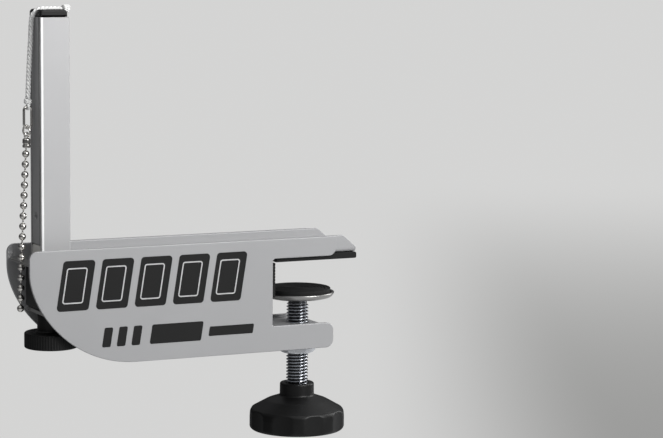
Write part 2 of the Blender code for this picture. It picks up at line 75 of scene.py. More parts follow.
CORD_R = 1.6
CAP_TOP, CAP_BEND_X, CAP_BEND_R = 158.3, -170.6, 5.6
CORD_ROUTE = [
    (-179.4, 105.2), (-179.2, 111), (-178.9, 118), (-178.5, 125), (-178.1, 132), (-177.6, 139),
    (-177.3, 146), (-176.9, 151.4), (-176.4, 153.9), (-175.1, 156.2), (-172.9, 157.7), (-170.6, 158.3),
    (-167, 158.4), (-163, 158.4), (-158.1, 158.3)]


# ---------------------------------------------------------------- surfaces
def ring_angles(count):
    """Angles of evenly spaced points round a ring, the first not repeated at the end."""
    return np.linspace(0, TAU, count, endpoint=False)


def surface(name, grid, body, finish, wrap=True, loop=False, ends="flat", sharp=35, stands_for=()):
    """A mesh from a grid of points: rows run along the shape and columns run round it.

    wrap joins the last column to the first and loop the last row to the first; ends is flat for a face
    over each open end, fan for a pole in its middle, or open.
    """
    rows, cols = grid.shape[:2]
    index = np.arange(rows * cols).reshape(rows, cols)
    across = np.roll(index, -1, 1) if wrap else index[:, 1:]
    here = index if wrap else index[:, :-1]
    ahead, ahead_across = np.roll(here, -1, 0), np.roll(across, -1, 0)
    if not loop:
        here, across, ahead, ahead_across = here[:-1], across[:-1], ahead[:-1], ahead_across[:-1]
    faces = np.stack([here, across, ahead_across, ahead], -1).reshape(-1, 4).tolist()
    points = grid.reshape(-1, 3)
    if ends != "open" and not loop:
        for rim in (index[0], index[-1]):
            if ends == "fan":
                points = np.vstack([points, points[rim].mean(0)])
                middle = len(points) - 1
                faces += [(a, b, middle) for a, b in zip(rim.tolist(), np.roll(rim, -1).tolist())]
            else:
                faces.append(rim.tolist())
    mesh = bpy.data.meshes.new(name)
    mesh.from_pydata(points.tolist(), [], faces)
    return settle(name, mesh, body, finish, sharp, stands_for)


def keep_flats_flat(piece):
    """Shade each large flat face by its own normal, so that only the rounded edges round it turn."""
    step = piece.modifiers.new("flat_faces", "WEIGHTED_NORMAL")
    step.keep_sharp = True
    step.weight = 100


def settle(name, mesh, body, finish, sharp=35, stands_for=()):
    """Merge doubles, turn faces outwards, shade, and put the piece on its body with its finish."""
    work = bmesh.new()
    work.from_mesh(mesh)
    bmesh.ops.remove_doubles(work, verts=work.verts, dist=1e-7)
    bmesh.ops.recalc_face_normals(work, faces=work.faces)
    work.to_mesh(mesh)
    work.free()
    mesh.shade_smooth()
    mesh.set_sharp_from_angle(angle=radians(sharp))
    piece = bpy.data.objects.new(name, mesh)
    bpy.context.scene.collection.objects.link(piece)
    mesh.materials.append(FINISHES[finish])
    keep_flats_flat(piece)
    if body:
        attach(piece, body)
    if stands_for:
        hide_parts(*stands_for)
    return piece


def rounded(corners, steps=6, closed=True):
    """An outline from corners (u, v, radius) in millimetres, with an arc at each corner that has a radius."""
    outline = []
    last = len(corners) - 1
    for i, (u, v, radius) in enumerate(corners):
        here = Vector((u, v))
        if not radius or (not closed and i in (0, last)):
            outline.append((u, v))
            continue
        back = (Vector(corners[i - 1][:2]) - here).normalized()
        on = (Vector(corners[(i + 1) % len(corners)][:2]) - here).normalized()
        half = back.angle(on) / 2
        middle = here + (back + on).normalized() * radius / sin(half)
        start = here + back * radius / tan(half) - middle
        sweep = pi - 2 * half
        if start.y * back.x - start.x * back.y < 0:
            sweep = -sweep
        for k in range(steps + 1):
            turn = sweep * k / steps
            outline.append((middle.x + start.x * cos(turn) - start.y * sin(turn),
                            middle.y + start.x * sin(turn) + start.y * cos(turn)))
    outline = np.array(outline)
    return outline[np.linalg.norm(outline - np.roll(outline, 1, 0), axis=1) > 1e-4]


def inward(outline, distance):
    """The outline moved in by a distance, each corner kept by mitring the two edges that meet there."""
    area = np.sum(outline[:, 0] * np.roll(outline[:, 1], -1) - np.roll(outline[:, 0], -1) * outline[:, 1])
    edge = np.roll(outline, -1, 0) - outline
    edge /= np.linalg.norm(edge, axis=1, keepdims=True)
    normal = np.stack([-edge[:, 1], edge[:, 0]], 1) * np.sign(area)
    before = np.roll(normal, 1, 0)
    shared = 1 + np.sum(normal * before, axis=1, keepdims=True)
    return outline + distance * (normal + before) / np.maximum(shared, 0.3)


def extruded(name, outline, low, high, body, finish, along="Y", edge=0.35, steps=3, **more):
    """An outline in millimetres carried between two levels, with a quarter-round edge at both ends."""
    turn = np.linspace(0, pi / 2, steps + 1)
    inset = edge * (1 - np.sin(turn))
    rise = edge * (1 - np.cos(turn))
    levels = np.concatenate([low + rise, (high - rise)[::-1]])
    insets = np.concatenate([inset, inset[::-1]])
    rows = []
    for level, amount in zip(levels, insets):
        flat = inward(outline, amount)
        fill = np.full(len(flat), level)
        order = {"X": (fill, flat[:, 0], flat[:, 1]), "Y": (flat[:, 0], fill, flat[:, 1]),
                 "Z": (flat[:, 0], flat[:, 1], fill)}[along]
        rows.append(np.stack(order, 1))
    return surface(name, np.array(rows) * MM, body, finish, **more)


def turned(name, profile, body, finish, at=(0, 0), segments=96, reach=None, **more):
    """A profile of (radius, z) in millimetres turned about Z at a place; reach reshapes the radius."""
    profile = np.asarray(profile, float)
    angle = ring_angles(segments)
    radius = np.repeat(profile[:, :1], segments, 1)
    height = np.repeat(profile[:, 1:], segments, 1)
    if reach:
        radius = reach(radius, height, angle[None, :])
    grid = np.stack([at[0] + radius * np.cos(angle), at[1] + radius * np.sin(angle), height], -1)
    return surface(name, grid * MM, body, finish, **more)


def tube(path, radius, across, sides=12, closed=False):
    """Grid of a round tube along a path of points; across is a direction never along the path."""
    path = np.asarray(path, float)
    if closed:
        heading = np.roll(path, -1, 0) - np.roll(path, 1, 0)
    else:
        heading = np.gradient(path, axis=0)
    heading /= np.linalg.norm(heading, axis=1, keepdims=True)
    side = np.cross(heading, np.asarray(across, float))
    side /= np.linalg.norm(side, axis=1, keepdims=True)
    up = np.cross(side, heading)
    angle = ring_angles(sides)[None, :, None]
    reach = np.asarray(radius, float).reshape(-1, 1, 1)
    return path[:, None] + reach * (np.cos(angle) * side[:, None] + np.sin(angle) * up[:, None])


def carve(piece, *cutters, operation="DIFFERENCE"):
    """Cut other pieces out of a piece, or join them on, and remove them."""
    piece.modifiers.clear()
    for cutter in cutters:
        step = piece.modifiers.new("carve", "BOOLEAN")
        step.operation, step.object, step.solver = operation, cutter, "EXACT"
    shaped = piece.evaluated_get(bpy.context.evaluated_depsgraph_get())
    mesh = bpy.data.meshes.new_from_object(shaped)
    piece.modifiers.clear()
    piece.data = mesh
    for cutter in cutters:
        bpy.data.objects.remove(cutter)
    mesh.shade_smooth()
    mesh.set_sharp_from_angle(angle=radians(30))
    keep_flats_flat(piece)
    return piece


def merged(name, parts, body, finish, sharp=35, stands_for=()):
    """One piece made of several that share a finish."""
    work = bmesh.new()
    for part in parts:
        work.from_mesh(part.data)
        bpy.data.objects.remove(part)
    mesh = bpy.data.meshes.new(name)
    work.to_mesh(mesh)
    work.free()
    return settle(name, mesh, body, finish, sharp, stands_for)


def joined(name, grids, body, finish, stands_for=(), ends="fan"):
    """One piece made of several closed grids, such as a cord's strands."""
    parts = [surface(f"{name}_{i}", grid, None, finish, ends=ends) for i, grid in enumerate(grids)]
    return merged(name, parts, body, finish, 60, stands_for)


# ---------------------------------------------------------------- finishes
def socket(group, name, kind, out=False, value=None):
    """Give a node group an input or an output."""
    made = group.interface.new_socket(name=name, in_out="OUTPUT" if out else "INPUT", socket_type=kind)
    if value is not None:
        made.default_value = value


def node(tree, kind, settings=(), **values):
    """A shader node with its properties set and its inputs filled with values or linked from sockets."""
    made = tree.nodes.new(kind)
    for name, value in dict(settings).items():
        setattr(made, name, value)
    for name, value in values.items():
        target = made.inputs[int(name[1:])] if name[1:].isdigit() else made.inputs[name.replace("_", " ")]
        if isinstance(value, bpy.types.NodeSocket):
            tree.links.new(value, target)
        else:
            target.default_value = value
    return made


def object_place(tree):
    """The place on the part, from Object coordinates."""
    return tree.nodes.new("ShaderNodeTexCoord").outputs["Object"]


def grain_group():
    """Shared surface detail: broad tone drift, fine grain, and sparse scuffs, all from Object coordinates.

    Size is the grain's size in metres. Stretch scales the coordinates, so that brushing runs along an axis.
    """
    group = bpy.data.node_groups.new("grain", "ShaderNodeTree")
    socket(group, "Size", "NodeSocketFloat", value=0.0004)
    socket(group, "Stretch", "NodeSocketVector", value=(1, 1, 1))
    socket(group, "Scuff Size", "NodeSocketFloat", value=0.012)
    for name in ("Tone", "Grain", "Scuff"):
        socket(group, name, "NodeSocketFloat", out=True)
    inlet, outlet = group.nodes.new("NodeGroupInput"), group.nodes.new("NodeGroupOutput")
    where = object_place(group)
    drawn = node(group, "ShaderNodeVectorMath", {"operation": "MULTIPLY"}, _0=where,
                 _1=inlet.outputs["Stretch"])
    per_size = node(group, "ShaderNodeMath", {"operation": "DIVIDE"}, _0=1.0, _1=inlet.outputs["Size"])
    fine = node(group, "ShaderNodeTexNoise", Vector=drawn.outputs[0], Scale=per_size.outputs[0], Detail=3.0,
                Roughness=0.6)
    broad = node(group, "ShaderNodeTexNoise", Vector=where, Scale=28.0, Detail=3.0, Roughness=0.55)
    per_scuff = node(group, "ShaderNodeMath", {"operation": "DIVIDE"}, _0=1.0, _1=inlet.outputs["Scuff Size"])
    scuff = node(group, "ShaderNodeTexNoise", Vector=where, Scale=per_scuff.outputs[0], Detail=8.0,
                 Roughness=0.72, Distortion=0.6)
    rare = node(group, "ShaderNodeMapRange", Value=scuff.outputs["Fac"], From_Min=0.6, From_Max=0.74)
    group.links.new(broad.outputs["Fac"], outlet.inputs["Tone"])
    group.links.new(fine.outputs["Fac"], outlet.inputs["Grain"])
    group.links.new(rare.outputs[0], outlet.inputs["Scuff"])
    return group


GRAIN = grain_group()


def mixed(tree, factor, first, second):
    """A colour between two, by a factor; each is a colour or the socket that gives one."""
    first, second = (c if isinstance(c, bpy.types.NodeSocket) else (*c, 1) for c in (first, second))
    return node(tree, "ShaderNodeMix", {"data_type": "RGBA"}, _0=factor, _6=first, _7=second).outputs[2]


def eased(tree, value, start, end, low=0.0, high=1.0):
    """A value that passes smoothly from low to high between two places."""
    return node(tree, "ShaderNodeMapRange", {"interpolation_type": "SMOOTHSTEP"}, Value=value, From_Min=start,
                From_Max=end, To_Min=low, To_Max=high).outputs[0]


def product(tree, first, second):
    """Two values multiplied."""
    return node(tree, "ShaderNodeMath", {"operation": "MULTIPLY"}, _0=first, _1=second).outputs[0]


def along(tree, place, direction):
    """How far a place lies along a direction."""
    dot = node(tree, "ShaderNodeVectorMath", {"operation": "DOT_PRODUCT"}, _0=place, _1=direction)
    return dot.outputs["Value"]


def ranged(tree, value, low, high):
    """A value from 0 to 1 stretched to a range."""
    return node(tree, "ShaderNodeMapRange", Value=value, To_Min=low, To_Max=high).outputs[0]


def finish(name, dark, light, rough, metallic=0.0, size=0.0004, stretch=(1, 1, 1), bump=0.2, depth=0.00002,
           scuff_rough=0.1, sheen=0.0, specular=0.5, scuff_size=0.012):
    """A finish whose colour drifts between two tones, whose grain is a bump and whose scuffs are rougher."""
    made = bpy.data.materials.new(name)
    made.use_nodes = True
    tree = made.node_tree
    shader = tree.nodes["Principled BSDF"]
    grain = node(tree, "ShaderNodeGroup", {"node_tree": GRAIN}, Size=size, Stretch=stretch,
                 Scuff_Size=scuff_size)
    tree.links.new(mixed(tree, grain.outputs["Tone"], dark, light), shader.inputs["Base Color"])
    plain = ranged(tree, grain.outputs["Grain"], rough - 0.05, rough + 0.05)
    worn = node(tree, "ShaderNodeMath", {"operation": "MULTIPLY_ADD", "use_clamp": True},
                _0=grain.outputs["Scuff"], _1=scuff_rough, _2=plain)
    tree.links.new(worn.outputs[0], shader.inputs["Roughness"])
    relief = node(tree, "ShaderNodeBump", Height=grain.outputs["Grain"], Strength=bump, Distance=depth)
    tree.links.new(relief.outputs[0], shader.inputs["Normal"])
    shader.inputs["Metallic"].default_value = metallic
    shader.inputs["Sheen Weight"].default_value = sheen
    shader.inputs["Specular IOR Level"].default_value = specular
    return made


def threaded(name, root, crest, **looks):
    """A plated thread with painted shade in its roots: the roots, told by their distance from the screw's own
    axis, are painted near black.
    """
    made = finish(name, (0.62, 0.65, 0.70), (0.76, 0.78, 0.82), 0.16, 1.0, size=0.0005, bump=0.08, **looks)
    tree = made.node_tree
    shader = tree.nodes["Principled BSDF"]
    where = object_place(tree)
    flat = node(tree, "ShaderNodeVectorMath", {"operation": "MULTIPLY"}, _0=where, _1=(1, 1, 0))
    reach = node(tree, "ShaderNodeVectorMath", {"operation": "LENGTH"}, _0=flat.outputs[0])
    clear_of_root_shade = eased(tree, reach.outputs["Value"], root, crest)
    plated = shader.inputs["Base Color"].links[0].from_socket
    # painted shade: inside the crest radius the thread's roots are painted near black
    tree.links.new(mixed(tree, clear_of_root_shade, (0.10, 0.102, 0.107), plated), shader.inputs["Base Color"])
    return made


def painted_highlight_lines(made, outer, front):
    """A drawn tube's outer corners with a painted highlight, and fine lines beside them: the bright ones
    painted highlights, the dark ones painted shade of the corner groove.

    outer and front are the places of the tube's outer and front faces, in metres.
    """
    tree = made.node_tree
    shader = tree.nodes["Principled BSDF"]
    place = node(tree, "ShaderNodeSeparateXYZ", Vector=object_place(tree))
    off_centre = node(tree, "ShaderNodeMath", {"operation": "ABSOLUTE"}, _0=place.outputs["Y"]).outputs[0]
    span = 5.0
    inset = node(tree, "ShaderNodeMapRange", Value=off_centre, From_Min=front, From_Max=front - span * MM)
    lines = node(tree, "ShaderNodeValToRGB", _0=inset.outputs[0])
    stops = lines.color_ramp.elements
    stops.remove(stops[1])
    # tones near 0.95 and 0.9 are painted highlights, tones near 0.06 and 0.1 painted groove shade
    for inward_by, tone in ((0, 0.95), (0.3, 0.95), (0.6, 0.06), (1.3, 0.06), (1.6, 0.9), (2.2, 0.9),
                            (2.5, 0.1), (3.3, 0.1), (3.7, 0.45)):
        stop = stops.new(inward_by / span) if inward_by else stops[0]
        stop.position, stop.color = inward_by / span, (tone, tone, tone, 1)
    at_side = eased(tree, place.outputs["X"], outer + 0.0019, outer + 0.0014)
    marked = node(tree, "ShaderNodeMapRange", Value=off_centre, From_Min=front - 0.0045,
                  From_Max=front - 0.0037)
    plain = shader.inputs["Base Color"].links[0].from_socket
    tree.links.new(mixed(tree, product(tree, at_side, marked.outputs[0]), plain, lines.outputs[0]),
                   shader.inputs["Base Color"])
    return made


POST_LOW, POST_HIGH = (np.array(corner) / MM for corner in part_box("net_post_tube"))
POST_X = (POST_LOW[0] + POST_HIGH[0]) / 2
POST_HALF_W, POST_HALF_D = (POST_HIGH[0] - POST_LOW[0]) / 2, POST_HIGH[1]

SCUFFED = {"scuff_rough": 0.2, "scuff_size": 0.006}
FINISHES = {
    "thread": threaded("thread", 0.0060, 0.0067, **SCUFFED),
    "paint": finish("paint", (0.355, 0.356, 0.362), (0.385, 0.386, 0.392), 0.42, 0.2, size=0.00035, bump=0.35,
                    depth=0.00003, scuff_rough=0.08),
    # the aluminium carries painted highlights and painted groove shade by the post's outer corners
    "alu": painted_highlight_lines(finish("alu", (0.445, 0.445, 0.45), (0.475, 0.475, 0.48), 0.40, 0.25, size=0.00025,
                              stretch=(1, 1, 0.02), bump=0.2, depth=0.00001),
                       outer=POST_LOW[0] * MM, front=POST_HALF_D * MM),
    # painted light: the nut's finish is zinc made paler and less metallic, a painted reflection of pale
    # surroundings on its facets
    "nut": finish("nut", (0.72, 0.74, 0.78), (0.84, 0.86, 0.89), 0.25, 0.6, size=0.0005, bump=0.1,
                  **SCUFFED),
    "steel": finish("steel", (0.40, 0.395, 0.385), (0.50, 0.495, 0.485), 0.30, 1.0, size=0.0003, bump=0.2,
                    scuff_rough=0.2),
    "zinc": finish("zinc", (0.62, 0.65, 0.70), (0.74, 0.76, 0.80), 0.16, 1.0, size=0.0005, bump=0.1,
                   **SCUFFED),
    "chrome": finish("chrome", (0.64, 0.62, 0.59), (0.74, 0.72, 0.69), 0.10, 1.0, size=0.0006, bump=0.05,
                     scuff_rough=0.2, scuff_size=0.004),
    "black": finish("black", (0.0045, 0.0045, 0.0045), (0.0075, 0.0075, 0.0075), 0.40, 0.0, size=0.0003,
                    bump=0.35, depth=0.00003, scuff_rough=0.12, specular=0.28),
    "nylon": finish("nylon", (0.72, 0.71, 0.67), (0.80, 0.79, 0.76), 0.4, 0.0, size=0.0006, bump=0.15),
    "rubber": finish("rubber", (0.008, 0.008, 0.008), (0.013, 0.013, 0.013), 0.75, 0.0, size=0.0004, bump=0.6,
                     depth=0.00006, specular=0.25),
    "cord": finish("cord", (0.78, 0.78, 0.77), (0.92, 0.92, 0.91), 0.85, 0.0, size=0.00022,
                   stretch=(1, 1, 0.25), bump=0.8, depth=0.00006, sheen=0.3),
    "ink": finish("ink", (0.008, 0.008, 0.008), (0.012, 0.012, 0.012), 0.55, 0.0, size=0.0005, bump=0.1,
                  specular=0.2),
    "pale_ink": finish("pale_ink", (0.50, 0.50, 0.505), (0.56, 0.56, 0.565), 0.5, 0.0, size=0.0005, bump=0.1,
                       specular=0.3),
}
SLOTS = {
    "paint": "grey_paint", "alu": "aluminium", "steel": "bare_steel", "zinc": "zinc_steel",
    "chrome": "nickel", "black": "black_plastic", "nylon": "white_nylon", "rubber": "black_rubber",
    "cord": "white_cord"}
FINISH_OF_SLOT = {slot: name for name, slot in SLOTS.items()}
SLOTS.update({"thread": "zinc_steel", "nut": "zinc_steel", "ink": "black_plastic", "pale_ink": "grey_paint"})


def dress_cad_nodes():
    """CAD nodes that stay in view or inside take the finish of their material slot."""
    for entry in frame["record"]["subparts"]:
        mesh = frame["nodes"][entry["node"]].data
        mesh.materials.clear()
        mesh.materials.append(FINISHES[FINISH_OF_SLOT[entry["material_slot"]]])


def corners_of(name):
    """Lowest and highest corner of a CAD node, in millimetres."""
    low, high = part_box(name)
    return np.array(low) / MM, np.array(high) / MM


# ---------------------------------------------------------------- bracket
def plate_outline():
    """The cover plate's side view: the jaw's notch at the right, and one long curve at the lower left."""
    low, high = corners_of("front_side_plate")
    left, bottom, right, top = low[0], low[2], high[0], high[2]
    jaw_back = corners_of("back_jaw_pad")[0][0]
    underside, arm_top, lower_end = 2.7, -39.9, 15.0
    start_z, end_x = 2.0, -118.0
    shape = rounded([(left, start_z, 0), (left, top, 5), (right, top, 0.8), (right, underside, 5),
                     (jaw_back, underside, 2), (jaw_back, arm_top, 1.5), (lower_end, arm_top, 5),
                     (lower_end, bottom, 5), (end_x, bottom, 0)], 10)
    t = np.linspace(0, 1, 32)[1:-1, None]
    a, b, c, d = (np.array(p) for p in ((end_x, bottom), (-161, bottom), (left, -20), (left, start_z)))
    curve = (1 - t) ** 3 * a + 3 * (1 - t) ** 2 * t * b + 3 * (1 - t) * t * t * c + t ** 3 * d
    return np.vstack([shape, curve])


def cover_plates():
    """Two pressed plates with softly rounded rims."""
    outline = plate_outline()
    for name in ("front_side_plate", "rear_side_plate"):
        low, high = corners_of(name)
        extruded(f"{name}_skin", outline, low[1], high[1], "bracket", "paint", edge=0.45, steps=4,
                 stands_for=(name,))


def plate_screws():
    """Pan-head screws: a domed head with a six-sided socket sunk in it."""
    for number in range(1, 5):
        low, high = corners_of(f"plate_screw_{number}")
        x, _, z = (low + high) / 2
        shank, head_y, top_y, rim, sunk, hexagon = 1.95, 22.3, high[1], 0.5, 1.3, 1.25
        radius = (high[0] - low[0]) / 2
        dome = np.linspace(0, pi / 2, 9)
        profile = [(0.001, low[1]), (shank, low[1]), (shank, head_y), (radius, head_y),
                   (radius, head_y + rim)]
        profile += [(radius * 0.35 + radius * 0.65 * cos(a), head_y + rim + (top_y - head_y - rim) * sin(a))
                    for a in dome[1:]]
        profile += [(1.45, top_y), (hexagon, top_y - sunk), (0.001, top_y - sunk)]
        profile = np.array(profile)
        angle = ring_angles(48)
        socket_wall = hexagon / np.cos((angle % (TAU / 6)) - TAU / 12) * 0.95
        radii = np.repeat(profile[:, :1], 48, 1)
        radii[-3] = np.maximum(socket_wall, 1.2)
        radii[-2] = socket_wall - 0.02
        grid = np.stack([x + radii * np.cos(angle), np.repeat(profile[:, 1:], 48, 1),
                         z - radii * np.sin(angle)], -1)
        surface(f"plate_screw_head_{number}", grid * MM, "bracket", "zinc", ends="fan",
                stands_for=(f"plate_screw_{number}",))


def folded_channel(name, stations, tops, web_low, thickness, half, body, down=False):
    """A folded sheet channel: its U section carried along X, with flanges that end at each station's top."""
    rows = []
    for x, top in zip(stations, tops):
        flip = -1 if down else 1
        web = web_low * flip
        corners = [(-half, top * flip, 0.4), (-half, web, 2.2), (half, web, 2.2), (half, top * flip, 0.4),
                   (half - thickness, top * flip, 0.4), (half - thickness, web + thickness, 0.7),
                   (thickness - half, web + thickness, 0.7), (thickness - half, top * flip, 0.4)]
        section = rounded(corners, 5)
        rows.append(np.stack([np.full(len(section), x), section[:, 0], section[:, 1] * flip], 1))
    return surface(f"{name}_fold", np.array(rows) * MM, body, "paint", stands_for=(name,))


def jaw():
    """The two folded channels, the jaw's back wall, and the rubber that meets the table."""
    low, high = corners_of("upper_jaw_channel")
    nose_top, nose_low = 22.3, 7.5
    tip = np.linspace(nose_top, high[0], 7)
    slope = np.linspace(high[2], nose_low, 7)
    half = high[1]
    folded_channel("upper_jaw_channel", [low[0], *tip], [high[2], *slope], low[2], 2.0, half, "bracket")
    low, high = corners_of("lower_jaw_channel")
    web = folded_channel("lower_jaw_channel", [low[0], -10, high[0]], [low[2]] * 3, high[2], 2.0, half,
                         "bracket", down=True)
    bore = turned("screw_bore", [(7.5, high[2] - 6), (7.5, high[2] + 2)], None, "paint", segments=64)
    carve(web, bore)

    low, high = corners_of("jaw_back_wall")
    wall = rounded([(low[0], low[2], 0.3), (high[0], low[2], 0.3), (high[0], high[2], 0.3),
                    (low[0], high[2], 0.3)], 3)
    extruded("jaw_wall_sheet", wall, low[1], high[1], "bracket", "paint", stands_for=("jaw_back_wall",))
    low, high = corners_of("upper_jaw_pad")
    step = corners_of("back_jaw_pad")[1][0] + 0.3
    over_back_pad = 0.8
    shape = rounded([(step, low[2], 0.3), (high[0], low[2], 1.0), (high[0], high[2], 1.2),
                     (low[0], high[2], 0.5), (low[0], over_back_pad, 0.3), (step, over_back_pad, 0)], 4)
    extruded("upper_jaw_rubber", shape, low[1], high[1], "bracket", "rubber", edge=0.5,
             stands_for=("upper_jaw_pad",))
    low, high = corners_of("back_jaw_pad")
    ribs = np.linspace(low[2], high[2], 12)[1:-1]
    face = [(high[0], low[2], 0.6)]
    for z in ribs:
        face += [(high[0], z - 0.35, 0), (high[0] - 0.35, z, 0), (high[0], z + 0.35, 0)]
    face += [(high[0], high[2], 0.5), (low[0], high[2], 0.3), (low[0], low[2], 0.6)]
    extruded("back_jaw_rubber", rounded(face, 3), low[1], high[1], "bracket", "rubber", edge=0.4,
             stands_for=("back_jaw_pad",))


def hexagon_reach(across_flats, low, high, turn=0.0, chamfer=30):
    """Radius of a nut: a hexagon whose corners are cut back by a cone at each end."""
    def reach(radius, height, angle):
        flat = across_flats / 2 / np.cos((angle - turn) % (TAU / 6) - TAU / 12)
        from_end = np.minimum(height - low, high - height)
        cone = across_flats / 2 * 0.97 + from_end / tan(radians(chamfer))
        solid = np.minimum(flat, cone)
        return np.where(radius > across_flats * 0.45, solid, radius)
    return reach


def clamp_nut():
    """The long hexagon nut under the lower channel, with coned ends and a threaded mouth."""
    low, high = corners_of("clamp_nut")
    bottom, top = low[2], high[2]
    rim = [bottom, bottom + 0.15, bottom + 0.4, bottom + 0.8, bottom + 1.2, bottom + 1.7, -52, top - 1.7,
           top - 1.2, top - 0.8, top - 0.4, top - 0.15, top]
    profile = [(7.3, bottom + 0.8), (8.0, bottom)] + [(9.9, z) for z in rim] + [(8.0, top), (7.3, top - 0.8)]
    turned("clamp_nut_hex", profile, "bracket", "nut", segments=180, loop=True, ends="open", sharp=20,
           reach=hexagon_reach(20.0, bottom, top, radians(-26)), stands_for=("clamp_nut",))


# ---------------------------------------------------------------- threads, knob and disc
def thread_grid(at, low, high, major, pitch, per_pitch=14, segments=64, fade=1.0):
    """A right-handed screw thread: radius is a trapezium wave of height over pitch less angle over a turn.

    The wave has flat crests and roots with 60-degree flanks, and dies away at both ends.
    """
    depth = 0.6134 * pitch
    height = np.linspace(low, high, int((high - low) / pitch * per_pitch) + 1)[:, None]
    angle = ring_angles(segments)[None, :]
    phase = (height / pitch - angle / TAU) % 1.0
    tooth = np.clip((0.5 - np.abs(phase - 0.5)) * 2 * 1.45 - 0.2, 0, 1)
    ends = np.clip(np.minimum(height - low, high - height) / (fade * pitch), 0, 1)
    radius = major - depth + depth * tooth * ends
    return np.stack([at[0] + radius * np.cos(angle), at[1] + radius * np.sin(angle),
                     np.repeat(height, segments, 1)], -1)


def clamp_screw():
    """The M14 screw: a real thread from the shoulder to the knob, and a plain spigot through the disc."""
    low, high = corners_of("clamp_screw")
    shoulder = high[2] - 4.8
    thread = thread_grid((0, 0), low[2], shoulder - 0.6, 6.95, 2.0)
    sides = 64
    angle = ring_angles(sides)
    spigot = [(4.9, shoulder - 0.1), (4.8, shoulder), (4.1, shoulder), (4.1, high[2] - 0.4), (3.7, high[2])]
    rows = [np.stack([r * np.cos(angle), r * np.sin(angle), np.full(sides, z)], 1)[None] for r, z in spigot]
    surface("clamp_screw_thread", np.concatenate([thread, *rows]) * MM, "clamp_screw", "thread", ends="fan",
            sharp=50, stands_for=("clamp_screw",))


KNOB_R = 30.4


def finely(outline, spacing):
    """A profile with points added along its longer runs, for a reach to shape."""
    dense = [outline[0]]
    for a, b in zip(outline, outline[1:]):
        parts = max(1, int(np.linalg.norm(b - a) / spacing))
        dense += [a + (b - a) * k / parts for k in range(1, parts + 1)]
    return dense


def facet_cut(radius, height, angle):
    """The knob's grip: shallow hollows cut down its rim, which fade out over the dome."""
    lobes, first, hollow, reach, soft = 9, radians(-92.4), 49.7, 78.8, 0.35
    near = (angle - first + pi / lobes) % (TAU / lobes) - pi / lobes
    cut = reach * np.cos(near) - np.sqrt(np.maximum(hollow ** 2 - (reach * np.sin(near)) ** 2, 0))
    cut = np.where(np.abs(near) > radians(17), KNOB_R + 3, cut)
    blend = np.clip(0.5 + 0.5 * (cut - radius) / soft, 0, 1)
    together = cut * (1 - blend) + radius * blend - soft * blend * (1 - blend)
    return np.where(radius > KNOB_R - 6, together, radius)


def clamp_knob():
    """The moulded star knob: a collar, a shallow dome and a scalloped rim, hollow underneath."""
    low, high = corners_of("clamp_knob")
    top, bottom = high[2], low[2]
    outer = rounded([(7.3, top - 0.3, 0), (7.9, top, 0.3), (10.9, top, 1.1), (11.0, -89.2, 1.6),
                     (19.4, -92.2, 12), (30.0, -98.2, 3.2), (KNOB_R, -102.6, 3), (KNOB_R, bottom, 2.8),
                     (25.5, bottom, 1.2), (24.6, bottom + 2.2, 1.4), (12, bottom + 3.0, 1.2),
                     (11, bottom + 0.8, 0.8), (0.01, bottom + 0.8, 0)], 8, closed=False)
    bore_end = -98.2
    profile = [(0.01, bore_end), (7.3, bore_end), *finely(outer, 1.0)]
    turned("clamp_knob_moulding", profile, "clamp_screw", "black", segments=288, ends="fan", sharp=50,
           reach=facet_cut, stands_for=("clamp_knob",))


def pressure_disc():
    """The dished steel disc with a rolled rim, and the rubber facing glued in it."""
    low, high = corners_of("pressure_disc")
    rim, top, bottom = high[0], high[2], low[2]
    dish = rounded([(4.5, bottom, 0.3), (17.2, bottom, 3), (21.8, bottom + 1.1, 3), (rim, top - 0.6, 0.5),
                    (rim - 0.2, top, 0.5), (rim - 1.6, top, 0.5), (rim - 2.4, bottom + 2.4, 1.5),
                    (17.5, bottom + 1.9, 2), (4.5, bottom + 1.9, 0.3)], 6)
    turned("pressure_disc_dish", dish, "pressure_disc", "steel", segments=160, loop=True, sharp=50,
           stands_for=("pressure_disc",))
    low, high = corners_of("pressure_disc_pad")
    face = high[2]
    rings = []
    for radius in np.arange(3.0, 19.5, 2.0):
        rings += [(radius - 0.4, face), (radius, face - 0.35), (radius + 0.4, face)]
    rest = bottom + 2.3
    facing = [(0.01, rest + 1.2), (8.2, rest + 1.2), (8.2, rest), (19.0, rest), (21.0, rest + 1.0),
              (21.0, face - 0.6), (20.8, face - 0.15), (20.4, face)] + rings[::-1] + [(0.01, face)]
    turned("pressure_disc_facing", facing, "pressure_disc", "rubber", segments=120, ends="fan",
           stands_for=("pressure_disc_pad",))


def swivel_washer():
    """The washer that the disc turns on."""
    low, high = corners_of("swivel_washer")
    bore, rim = 4.4, 7.4
    ring = rounded([(bore, low[2], 0.15), (rim, low[2], 0.2), (rim, high[2], 0.2), (bore, high[2], 0.15)], 3)
    turned("swivel_washer_ring", ring, "clamp_carrier", "zinc", loop=True, stands_for=("swivel_washer",))


# ---------------------------------------------------------------- post
def post_section():
    """The extruded post in plan: round corners, a fine groove by each outer corner, and the net's slot."""
    w, d, wall, slot = POST_HALF_W, POST_HALF_D, 1.5, 3.0
    groove, depth, at = 0.5, 0.5, 2.9

    def grooved(side):
        points = [(-w, side * (d - at + groove), 0.15), (-w + depth, side * (d - at), 0.2),
                  (-w, side * (d - at - groove), 0.15)]
        return points if side > 0 else points[::-1]

    inner = [(w - wall, -d + wall, 0.5), (-w + wall, -d + wall, 0.5), (-w + wall, d - wall, 0.5),
             (w - wall, d - wall, 0.5)]
    corners = [(w, -slot, 0.3), (w - wall, -slot, 0.3), *inner, (w - wall, slot, 0.3), (w, slot, 0.3),
               (w, d, 0.9), (-w, d, 0.8), *grooved(1), *grooved(-1), (-w, -d, 0.8), (w, -d, 0.9)]
    return rounded(corners, 6) + np.array([POST_X, 0])


